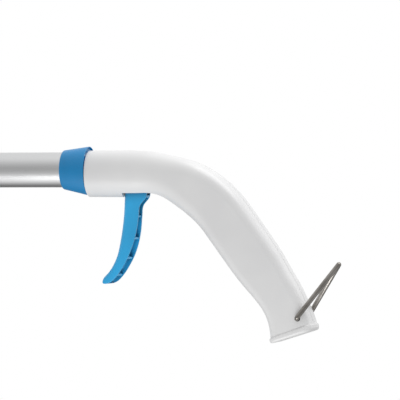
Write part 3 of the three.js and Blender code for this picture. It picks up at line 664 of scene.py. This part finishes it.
def blade_grid(wall, push=0.0, round_front=3.2 * MM, round_rear=0.5 * MM, rows=110):
    """Rings between the front and the rear edge: a rectangle whose front corners are rounded most. The tip
    closes as a quarter of an ellipse."""
    share = np.sin(np.linspace(0, np.pi / 2, rows))
    front, rear = edge_curve(FRONT_EDGE, share), edge_curve(REAR_EDGE, share)
    half_width = trigger_half_width(share)[:, None] - wall
    tip = np.sqrt(1 - np.clip((share - 0.93) / 0.07, 0, 0.995) ** 2)[:, None]
    middle = (front + rear) / 2
    front, rear = middle + (front - middle) * tip, middle + (rear - middle) * tip
    span = rear - front
    depth = np.linalg.norm(span, axis=1, keepdims=True)
    along = span / depth
    turn = np.linspace(0, np.pi / 2, 8)
    loops = []
    for sign, order in ((1, 1), (-1, -1)):
        near = np.minimum(round_front, 0.45 * depth)
        far = np.minimum(round_rear, 0.2 * depth)
        front_in = near * (1 - np.cos(turn))[None, :]
        front_y = half_width - near * (1 - np.sin(turn))[None, :]
        rear_in = depth - far * (1 - np.sin(turn))[None, :]
        rear_y = half_width - far * (1 - np.cos(turn))[None, :]
        run = np.concatenate([front_in, rear_in], axis=1)
        across = sign * np.concatenate([front_y, rear_y], axis=1)
        loops.append((run[:, ::order], across[:, ::order]))
    run, across = (np.concatenate([loops[0][i], loops[1][i]], axis=1) for i in (0, 1))
    x = front[:, :1] + along[:, :1] * run + push
    z = front[:, 1:] + along[:, 1:] * run
    return np.stack([x, across, z], -1)


def cross_ribs():
    """Small plates across the channel, square to the rear edge. They join the two walls of the blade."""
    share, small_step = np.array([0.385, 0.56, 0.727, 0.886]), 0.01
    half_depth, half_thick, corner, below_edge = 2.5 * MM, 0.7 * MM, 0.4 * MM, 0.4 * MM
    place, ahead = edge_curve(REAR_EDGE, share), edge_curve(REAR_EDGE, share + small_step)
    tangent = (ahead - place) / np.linalg.norm(ahead - place, axis=1, keepdims=True)
    inwards = np.stack([-np.abs(tangent[:, 1]), tangent[:, 0] * np.sign(tangent[:, 1])], -1)
    run, thick = rounded_loop(half_depth, half_thick, corner, 6)
    ribs = []
    reach = trigger_half_width(share) - TRIGGER_WALL / 2
    for point, down, into, end in zip(place, tangent, inwards, reach):
        ring = point + into * (below_edge + half_depth + run[0][:, None]) + down * thick[0][:, None]
        rows = [np.insert(ring, 1, y, axis=1) for y in (-end, end)]
        ribs.append(skin(np.array(rows)))
    return ribs


def trigger():
    """The blade less its channel, with the ribs, less the room for the yoke and for the two pins."""
    blade = add_piece("trigger_skin", [skin(blade_grid(0.0))])
    channel = add_piece("channel_cutter", [skin(blade_grid(TRIGGER_WALL, TRIGGER_FACE, 2 * MM))])
    solid_down_to, yoke_down_to, yoke_half = -17.5 * MM, -16 * MM, 3.5 * MM
    drive_pin = (-4.1 * MM, 0, -10.2 * MM)
    keep = add_piece("keep_cutter", [block((-0.03, -0.01, solid_down_to), (0.02, 0.01, 0.01))])
    carve(channel, keep)
    carve(blade, channel)
    for rib in cross_ribs():
        carve(blade, add_piece("rib", [rib]), operation="UNION")
    yoke = add_piece("yoke_cutter", [block((-0.02, -yoke_half, yoke_down_to), (0.02, yoke_half, 0.02))])
    pivot_hole = add_piece("pivot_cutter", [rod(3.3 * MM, -0.01, 0.01, "y")])
    pin_hole = add_piece("pin_cutter", [rod(2.5 * MM, -0.01, 0.01, "y", drive_pin)])
    return carve(blade, yoke, pivot_hole, pin_hole)


install(trigger(), "trigger", "blue_plastic", TRIGGER_BLUE, "trigger")

# %% [markdown]
# ## Return spring
# The spring is wound from wire: a helix whose last turn at each end lies flat, so that it can push
# squarely. Blender's screw modifier winds a helix of one pitch only, so the path is worked out here and a
# round section carried along it. It runs from the crosshead to the guide that it leans on.

# %% Spring
guide_face, crosshead_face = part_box("rod_guide_front")[0][0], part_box("crosshead")[1][0]


def return_spring():
    """A helix about X. Its pitch grows from nothing at each end to full over the first and last turn."""
    radius, wire, turns, spare = 5.5 * MM, 0.7 * MM, 7.0, 0.35 * MM
    start, end = crosshead_face + wire + spare, guide_face - wire - spare
    turn = np.linspace(0, turns, 60 * int(turns))
    pitch = np.clip(np.minimum(turn, turns - turn), 0.05, 1)
    along = np.cumsum(pitch)
    along = start + (end - start) * (along - along[0]) / (along[-1] - along[0])
    angle = 2 * np.pi * turn
    path = np.stack([along, radius * np.cos(angle), radius * np.sin(angle)], -1)
    return add_piece("return_spring_skin", [swept_tube(path, wire, 10)])


spring = install(return_spring(), "handle", "bright_steel", STEEL, "return_spring")
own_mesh(spring)

# %% [markdown]
# ## Bail
# The bail is one length of steel wire that the tool hangs by. Each end is held in the side of the grip,
# bends sharply up and runs to a tight turn at the apex. A curve object with a bevel would do, but its rings
# bunch at sharp bends, so the route is made of straight runs and arcs, with a round section carried along it.

# %% Bail
def rounded_route(corners, radius, spacing=1.05 * MM):
    """Straight lines between corners, each inner corner replaced by a smooth arc of its own tangents."""
    corners = [np.array(corner, dtype=float) for corner in corners]
    route, start = [], corners[0]
    for before, corner, after in zip(corners, corners[1:], corners[2:]):
        entry = corner + (before - corner) / np.linalg.norm(before - corner) * radius
        leave = corner + (after - corner) / np.linalg.norm(after - corner) * radius
        steps = max(2, int(np.linalg.norm(entry - start) / spacing))
        t = np.linspace(0, 1, steps, endpoint=False)[:, None]
        route.append(start + (entry - start) * t)
        t = np.linspace(0, 1, 14, endpoint=False)[:, None]
        route.append((1 - t) ** 2 * entry + 2 * t * (1 - t) * corner + t**2 * leave)
        start = leave
    t = np.linspace(0, 1, 12)[:, None]
    route.append(start + (corners[-1] - start) * t)
    return np.concatenate(route)


def bail():
    """From inside one wall, out, along the triangle to the apex and back in at the other side."""
    pivot = np.array([bail_pivot[0], 0, bail_pivot[2]])
    hold, inside, reach, raised, bend = 17.4 * MM, 8.0 * MM, 41.3 * MM, np.radians(55), 2.6 * MM
    apex = pivot + reach * np.array([np.cos(raised), 0, np.sin(raised)])
    sides = [pivot + np.array([0, y, 0]) for y in (-inside, -hold, hold, inside)]
    route = rounded_route([sides[0], sides[1], apex, sides[2], sides[3]], bend)
    return add_piece("bail_skin", [swept_tube(route, WIRE_RADIUS)])


install(bail(), "bail", "bail_steel", BAIL_STEEL, "hanging_bail")

# %% [markdown]
# ## Head
# The head is a flat box with a round neck for the tube. It is moulded as two halves that meet at the
# middle plane, hollow for the crosshead and open at the front for the arms. A bevelled box would be square
# where the real head tapers, so its outline is drawn once from above, and the edge is rolled over by pulling
# that outline inwards along a quarter circle.

# %% Plates with rolled edges
def bezier(start, control, end, steps=10):
    """A smooth arc from start to end, drawn towards the control point. The end itself is left out."""
    t = np.linspace(0, 1, steps, endpoint=False)[:, None]
    start, control, end = (np.array(point, dtype=float) for point in (start, control, end))
    return (1 - t) ** 2 * start + 2 * t * (1 - t) * control + t**2 * end


def rolled_plate(outline, low, high, roll):
    """An outline as a plate. Each level is the outline pulled in along its normals by a quarter circle."""
    outline = outline[np.linalg.norm(outline - np.roll(outline, 1, axis=0), axis=1) > 1e-6]
    before, after = np.roll(outline, 1, axis=0), np.roll(outline, -1, axis=0)
    edge_in = (outline - before) / np.linalg.norm(outline - before, axis=1, keepdims=True)
    edge_out = (after - outline) / np.linalg.norm(after - outline, axis=1, keepdims=True)
    normal = np.stack([-(edge_in + edge_out)[:, 1], (edge_in + edge_out)[:, 0]], -1)
    normal /= np.linalg.norm(normal, axis=1, keepdims=True)
    area = np.sum(outline[:, 0] * after[:, 1] - after[:, 0] * outline[:, 1])
    turn = np.linspace(0, np.pi / 2, 7)
    pull = roll * (1 - np.sin(turn))
    heights = np.concatenate([low + roll * (1 - np.cos(turn)), high - roll * (1 - np.cos(turn[::-1]))])
    pull = np.concatenate([pull, pull[::-1]])
    rings = outline[None] + np.sign(area) * pull[:, None, None] * normal[None]
    levels = np.broadcast_to(heights[:, None, None], (*rings.shape[:2], 1))
    return skin(np.concatenate([rings, levels], axis=-1))


# %% [markdown]
# Each half is then the plate joined to a round neck and to the plug that goes into the tube, with its
# hollows cut out. The cutters are plain blocks and rods, because what they leave is hidden inside.

# %% Head shells
arm_pivot = JOINTS["arm_right_swing"]["pos_m"]
head_low, head_high = (np.array(corner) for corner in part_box("head_shell_top"))
HEAD_FRONT, HEAD_TOP, HEAD_SIDE = head_low[0], head_high[2], head_high[1]
NECK_END = tube_low[0] - GAP
NECK_START = NECK_END - 12 * MM
HEAD_SIDE_REAR = 25 * MM
HEAD_SCREWS = [f"head_screw_{end}_{side}" for end in ("rear", "front") for side in ("left", "right")]
SHANK_RADIUS, SCREW_HEAD = 1.5 * MM, 2.5 * MM


def head_outline():
    """From above: narrow at the neck, widening by two smooth arcs to the arms' pivots, square in front."""
    rear, corner = NECK_START + 8 * MM, 6 * MM
    x, wide, narrow = arm_pivot[0], HEAD_SIDE, HEAD_SIDE_REAR
    half = np.concatenate([
        bezier((rear, narrow - corner), (rear, narrow), (rear - corner, narrow)),
        bezier((rear - corner, narrow), (x + 14 * MM, wide), (x, wide)),
        bezier((x, wide), (HEAD_FRONT + corner, wide), (HEAD_FRONT + corner, wide), 2),
        bezier((HEAD_FRONT + corner, wide), (HEAD_FRONT, wide), (HEAD_FRONT, wide - corner)),
        [(HEAD_FRONT, wide - corner)],
    ])
    return np.concatenate([half, half[::-1] * (1, -1)])


def head_hollow():
    """Cutters for the pocket, the mouth, the bore of the tube's plug and the parting line."""
    front, rear, overlap = arm_pivot[0] - 11 * MM, crosshead_face + 9.1 * MM, 1 * MM
    pocket_half = np.array([28.5, 7.5]) * MM
    mouth_half = np.array([27.3, 4.6]) * MM
    pocket = block((front, *-pocket_half), (rear, *pocket_half))
    mouth = block((HEAD_FRONT - overlap, *-mouth_half), (front + overlap, *mouth_half))
    bore = rod(6.8 * MM, rear - overlap, NECK_END + 30 * MM)
    parting = block((HEAD_FRONT - 0.01, -0.05, -GAP / 2), (NECK_END + 0.04, 0.05, GAP / 2))
    return [add_piece("cutter", [shape]) for shape in (pocket, mouth, bore, parting)]


def head_half(name, side):
    """The plate and the neck joined, hollowed, and cut to one side of the parting plane."""
    half = add_piece(name, [rolled_plate(head_outline(), -HEAD_TOP, HEAD_TOP, 3 * MM)])
    neck = add_piece("neck", [rod(14.5 * MM, NECK_START - 6 * MM, NECK_END, chamfer=0.8 * MM, sides=96)])
    plug = add_piece("plug", [rod(9.5 * MM, NECK_START, NECK_END + 28 * MM, chamfer=0.5 * MM)])
    carve(half, neck, plug, operation="UNION")
    span = sorted([0, -side * 0.05])
    other = add_piece("other", [block((HEAD_FRONT - 0.02, -0.1, span[0]), (NECK_END + 0.05, 0.1, span[1]))])
    cutters = head_hollow() + [other]
    for y in (-arm_pivot[1], arm_pivot[1]):
        cutters.append(add_piece("seat", [rod(3.3 * MM, -9.4 * MM, 9.4 * MM, "z", (arm_pivot[0], y, 0))]))
    for screw in HEAD_SCREWS:
        low, high = (np.array(corner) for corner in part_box(screw))
        x, y = (low + high)[:2] / 2
        shank = rod(SHANK_RADIUS + GAP, low[2], HEAD_TOP, "z", (x, y, 0))
        well = rod(WELL_RADIUS, high[2] - SCREW_HEAD, HEAD_TOP + 1 * MM, "z", (x, y, 0))
        cutters += [add_piece("cutter", [shank]), add_piece("cutter", [well])]
    return carve(half, *cutters)


for side, word in ((-1, "bottom"), (1, "top")):
    install(head_half(f"head_skin_{word}", side), "handle", "white_plastic", WHITE, f"head_shell_{word}")

# %% [markdown]
# ## Screws
# Each screw has a low domed head with a cross punched into it. A picture of a cross would lie flat and give
# itself away in a raking light, so the screw is turned from its profile and two thin blocks are taken out.

# %% Screws
def cross_screw(node, axis):
    """A domed head on a shank along an axis, with a cross as deep as half the head."""
    low, high = (np.array(corner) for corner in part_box(node))
    up = "xyz".index(axis)
    centre = (low + high) / 2
    centre[up] = 0
    top, tip, head = high[up], low[up], (high - low)[0] / 2
    dome = np.linspace(0, np.pi / 2, 7)
    profile = [(tip, 1e-6), (tip, SHANK_RADIUS), (top - SCREW_HEAD, SHANK_RADIUS), (top - SCREW_HEAD, head)]
    profile += list(zip(top - 1 * MM + 1 * MM * np.sin(dome), head * (0.35 + 0.65 * np.cos(dome))))
    profile += [(top, 1e-6)]
    screw = add_piece(f"{node}_skin", [turned(profile, 32, axis, centre)], sharp=50)
    cuts = []
    for long in {0, 1, 2} - {up}:
        half = np.full(3, 0.35 * MM)
        half[long] = 1.7 * MM
        middle = centre.copy()
        middle[up] = top
        half[up] = 1.1 * MM
        cuts.append(add_piece("cross", [block(middle - half, middle + half)]))
    return carve(screw, *cuts, sharp=50)


for name in HEAD_SCREWS:
    install(cross_screw(name, "z"), "handle", "bright_steel", STEEL, name)
for name in ("shell_screw_front", "shell_screw_middle", "shell_screw_rear"):
    install(cross_screw(name, "y"), "handle", "bright_steel", STEEL, name)

# %% [markdown]
# ## Spreader arms
# Each arm is one moulding: a hub on its pin, a short lever that the crosshead pulls, a low root that
# passes through the head's mouth and a tall smooth finger that goes inside the sock. Its edges are well
# rounded, because knitted cloth must slide over them without catching. The plates with rolled edges that made
# the head make the arm too, so both have the same soft edge.

# %% Arms
ARM_LENGTH, FINGER_START, FINGER_IN = 118 * MM, 34 * MM, -6.3 * MM
# The levers start as far behind square as they end ahead of it: half the arm's swing.
ARM_REST, LEVER_LENGTH = np.radians(15.075), 15.4 * MM


def finger_outline(start):
    """The finger from above, from x = -start to its round tip: flat inside, sloped where the pad lies."""
    tip, inner = -ARM_LENGTH + 7 * MM, FINGER_IN
    slope_end, root = (tip + 46 * MM, inner + 11 * MM), (-20 * MM, 5 * MM)
    outline = np.concatenate([
        bezier((tip, inner), (-ARM_LENGTH - 4 * MM, inner + 1.6 * MM), (tip, inner + 6.2 * MM)),
        bezier((tip, inner + 6.2 * MM), slope_end, slope_end, 6),
        bezier(slope_end, (-40 * MM, inner + 13 * MM), root),
        [root, (0, 5 * MM)],
    ])
    kept = outline[outline[:, 0] <= -start]
    rest = outline[len(kept) - 1 :]
    edge = np.interp(-start, rest[:, 0], rest[:, 1])
    return np.concatenate([kept, [(-start, edge), (-start, inner)]])


def arm(name, side):
    """All the arm's solids joined, drawn for +Y, then mirrored for -Y, and moved to the pivot."""
    pieces = [
        rolled_plate(finger_outline(0.0), -4 * MM, 4 * MM, 0.8 * MM),
        rolled_plate(finger_outline(FINGER_START), -9 * MM, 9 * MM, 2.2 * MM),
        rod(6 * MM, -4 * MM, 4 * MM, "z", chamfer=0.4 * MM),
        lever_plate(),
    ]
    hub_hole, lever_hole = rod(3.3 * MM, -0.01, 0.01, "z"), rod(2.3 * MM, -0.01, 0.01, "z", (*lever_pin(), 0))
    hollows = [hub_hole, lever_hole, pad_recess()]
    mirror = np.array([1, side, 1])
    place = np.array([arm_pivot[0], side * arm_pivot[1], 0])
    pieces, hollows = ([add_piece("solid", [(points * mirror + place, faces)]) for points, faces in group]
                       for group in (pieces, hollows))
    whole = pieces[0]
    whole.name = name
    carve(whole, *pieces[1:], operation="UNION")
    return carve(whole, *hollows)


def lever_pin():
    """Where the crosshead's pin sits in the lever, from the arm's pivot."""
    return np.array([-np.sin(ARM_REST), np.cos(ARM_REST)]) * LEVER_LENGTH


def lever_plate():
    """A round-ended plate from the hub to the crosshead's pin."""
    half_width, half_thick, roll = 4.4 * MM, 2.4 * MM, 0.5 * MM
    along = lever_pin() / np.linalg.norm(lever_pin())
    across = np.array([along[1], -along[0]])
    angle = np.linspace(0, np.pi, 13)[:, None]
    end = lever_pin() + half_width * (np.cos(angle) * across + np.sin(angle) * along)
    outline = np.concatenate([[half_width * across], end, [-half_width * across]])
    return rolled_plate(outline, -half_thick, half_thick, roll)

# %% [markdown]
# The pads are soft rubber let into the fingers' outer faces. Small rounded ridges across them hold the
# knit of the sock. A bump map would leave the pad's outline straight, so the ridges are real: the pad's outer
# face rises and falls with the distance along it.

# %% Pads
PAD_LENGTH, PAD_HEIGHT, PAD_THICK, PAD_RECESS = 40 * MM, 14 * MM, 2.2 * MM, 1.2 * MM
PAD_RIDGE = 0.35 * MM
# The finger's outer face rises 4.8 mm over the 46 mm that the pad lies on.
PAD_SLOPE = np.arctan(4.8 / 46)


def pad_place(points):
    """Turns points by the finger's slope and moves them to where the pad starts, near the tip."""
    cos, sin = np.cos(PAD_SLOPE), np.sin(PAD_SLOPE)
    turn = np.array([[cos, sin, 0], [-sin, cos, 0], [0, 0, 1]])
    start = (-ARM_LENGTH + 10 * MM, FINGER_IN + 6.2 * MM + 3 * MM * np.tan(PAD_SLOPE), 0)
    return points @ turn + start


def pad_recess():
    """The pocket that a pad sits in."""
    half = PAD_HEIGHT / 2 + GAP
    points, faces = block((-GAP, -PAD_RECESS, -half), (PAD_LENGTH + GAP, 4 * MM, half))
    return pad_place(points), faces


def pad(name, side):
    """Rounded sections along the pad. The outer half of each is thicker on a ridge than between ridges."""
    along = np.linspace(0, PAD_LENGTH, 161)
    ridges, ends = 10, np.minimum(along, PAD_LENGTH - along) / MM
    height = PAD_RIDGE * np.abs(np.sin(np.pi * ridges * along / PAD_LENGTH)) * np.clip(ends, 0, 1)
    half_thick = (PAD_THICK - PAD_RIDGE) / 2
    across, up = rounded_loop(half_thick, PAD_HEIGHT / 2, 0.8 * MM, 8)
    across = across + np.where(across > 0, 1, 0) * height[:, None] + half_thick + GAP - PAD_RECESS
    along, up = np.broadcast_to(along[:, None], across.shape), np.broadcast_to(up, across.shape)
    points, faces = skin(np.stack([along, across, up], axis=-1))
    place = np.array([arm_pivot[0], side * arm_pivot[1], 0])
    return add_piece(name, [(pad_place(points) * (1, side, 1) + place, faces)])


for side, word in ((-1, "left"), (1, "right")):
    body = f"arm_{word}"
    finger = arm(f"arm_skin_{word}", side)
    install(finger, body, "white_plastic", WHITE, f"spreader_arm_{word}")
    install(pad(f"pad_skin_{word}", side), body, "soft_rubber", RUBBER, f"spreader_pad_{word}")

# %% [markdown]
# ## Floor
# The tool is shown in the air, in a white room with a pale floor far below. A plane would do, but a thin
# turned slab has an edge and a true thickness. It is hidden from reflections and from bounced light, because
# the room's tones already stand for it there.

# %% Floor
def floor():
    """A thin round slab far below the tool, three metres in radius."""
    top, radius, thick = -1.0, 3.0, 0.005
    profile = [(top, 1 * MM), (top, radius), (top - thick, radius), (top - thick, 1 * MM)]
    disc = add_piece("floor", [turned(profile, 96, "z")])
    finish, shader = new_finish("pale_floor", (0.86, 0.86, 0.86), 0.6)
    vary_color(finish, shader, noise(finish, 6.0), (0.84, 0.84, 0.84), (0.88, 0.88, 0.88))
    disc.data.materials.append(finish)
    disc.visible_glossy = False
    disc.visible_diffuse = False


floor()

# %% [markdown]
# ## Room
# Drawn metal shows the room around it as bands along the tube, so the room is what makes it look like metal.
# A picture of a studio could be used, but a few grey tones by height do the same and can be tuned one by one.
# They lie on a circle in the upright plane through the viewer: 0 is towards the viewer, 90 straight up. The
# camera itself sees plain white.

# %% Room
VIEW_AZIMUTH = np.radians(14.5)
TOWARDS_VIEWER = (np.sin(VIEW_AZIMUTH), -np.cos(VIEW_AZIMUTH), 0.0)
ROOM_TONES = [(-180, 0.75), (-160, 0.3), (-135, 0.1), (-109, 0.36), (-89, 0.74), (-72, 0.68), (-56, 0.5),
              (-42, 0.54), (-28, 0.5), (-12, 0.42), (8, 0.37), (26, 0.42), (45, 0.53), (80, 0.76),
              (126, 0.76), (180, 0.75)]


def node(tree, kind, **settings):
    """A new node with some of its settings."""
    made = tree.nodes.new(kind)
    for key, value in settings.items():
        setattr(made, key, value)
    return made


def white_room():
    """White to the camera. The tool sees a tone for each angle, which is arctan(height / distance ahead)."""
    world = bpy.data.worlds.new("white_room")
    world.use_nodes = True
    tree, links = world.node_tree, world.node_tree.links
    place = node(tree, "ShaderNodeTexCoord")
    split = node(tree, "ShaderNodeSeparateXYZ")
    ahead = node(tree, "ShaderNodeVectorMath", operation="DOT_PRODUCT")
    ahead.inputs[1].default_value = TOWARDS_VIEWER
    angle = node(tree, "ShaderNodeMath", operation="ARCTAN2")
    share = node(tree, "ShaderNodeMapRange")
    share.inputs["From Min"].default_value = -np.pi
    share.inputs["From Max"].default_value = np.pi
    ramp = node(tree, "ShaderNodeValToRGB")
    stops = ramp.color_ramp.elements
    for stop, (at, tone) in zip((stops[0], stops[1]), (ROOM_TONES[0], ROOM_TONES[-1])):
        stop.position, stop.color = (at + 180) / 360, (tone, tone, tone, 1)
    for at, tone in ROOM_TONES[1:-1]:
        stops.new((at + 180) / 360).color = (tone, tone, tone, 1)
    background = tree.nodes["Background"]
    background.inputs["Strength"].default_value = 1.1
    white = node(tree, "ShaderNodeBackground")
    white.inputs["Color"].default_value = (1, 1, 1, 1)
    path = node(tree, "ShaderNodeLightPath")
    mix = node(tree, "ShaderNodeMixShader")
    links.new(place.outputs["Generated"], split.inputs["Vector"])
    links.new(place.outputs["Generated"], ahead.inputs[0])
    links.new(split.outputs["Z"], angle.inputs[0])
    links.new(ahead.outputs["Value"], angle.inputs[1])
    links.new(angle.outputs["Value"], share.inputs["Value"])
    links.new(share.outputs["Result"], ramp.inputs["Fac"])
    links.new(ramp.outputs["Color"], background.inputs["Color"])
    links.new(path.outputs["Is Camera Ray"], mix.inputs["Fac"])
    links.new(background.outputs["Background"], mix.inputs[1])
    links.new(white.outputs["Background"], mix.inputs[2])
    links.new(mix.outputs["Shader"], tree.nodes["World Output"].inputs["Surface"])
    bpy.context.scene.world = world


white_room()
bpy.context.scene.view_settings.view_transform = "Standard"
print("room tones from", min(tone for at, tone in ROOM_TONES), "to", max(tone for at, tone in ROOM_TONES))

# %% [markdown]
# ## Light
# Two square panels light the tool as a photographer's soft boxes would. The large one above leaves a broad
# sheen along the back of the grip. The small one, low in front, fills the underside of the neck and draws the
# bright line along the tube. Lamps of no size would leave hard spots on the plastic.

# %% Soft lights
def soft_light(name, place, aim, size, power):
    """A square panel of light that faces a point."""
    light = bpy.data.lights.new(name, "AREA")
    light.size = size
    light.energy = power
    panel = bpy.data.objects.new(name, light)
    panel.location = place
    panel.rotation_euler = (Vector(aim) - Vector(place)).to_track_quat("-Z", "Y").to_euler()
    bpy.context.scene.collection.objects.link(panel)
    print(name, power, "W")


GRIP_MIDDLE = (0.04, 0, -0.02)
soft_light("top_light", (0.5, 0.2, 1.1), GRIP_MIDDLE, 0.9, 7.5)
soft_light("low_light", (0.0, -0.6, -0.8), GRIP_MIDDLE, 0.5, 3.4)

# %% [markdown]
# ## Camera
# A product is shown with a long lens from far off, so that round forms keep their proportions. The lens is
# level with the tool and a little round towards the grip's end, which is what lets one see into the trigger's
# channel and through the bail.

# %% Camera
def camera():
    """A long lens, looking level at a point in the grip from the viewer's side."""
    distance, along, height = 1.87, 0.0384, -0.0189
    right = np.array([np.cos(VIEW_AZIMUTH), np.sin(VIEW_AZIMUTH), 0])
    towards = np.array(TOWARDS_VIEWER)
    centre = along * right + np.array([0, 0, height])
    lens = bpy.data.cameras.new("camera")
    lens.lens = 270
    lens.sensor_width = 36
    lens.clip_end = 20
    viewer = bpy.data.objects.new("camera", lens)
    viewer.location = centre + distance * towards
    viewer.rotation_euler = Vector(-towards).to_track_quat("-Z", "Y").to_euler()
    bpy.context.scene.collection.objects.link(viewer)
    bpy.context.scene.camera = viewer
    print("camera at", [round(value, 3) for value in viewer.location])


camera()
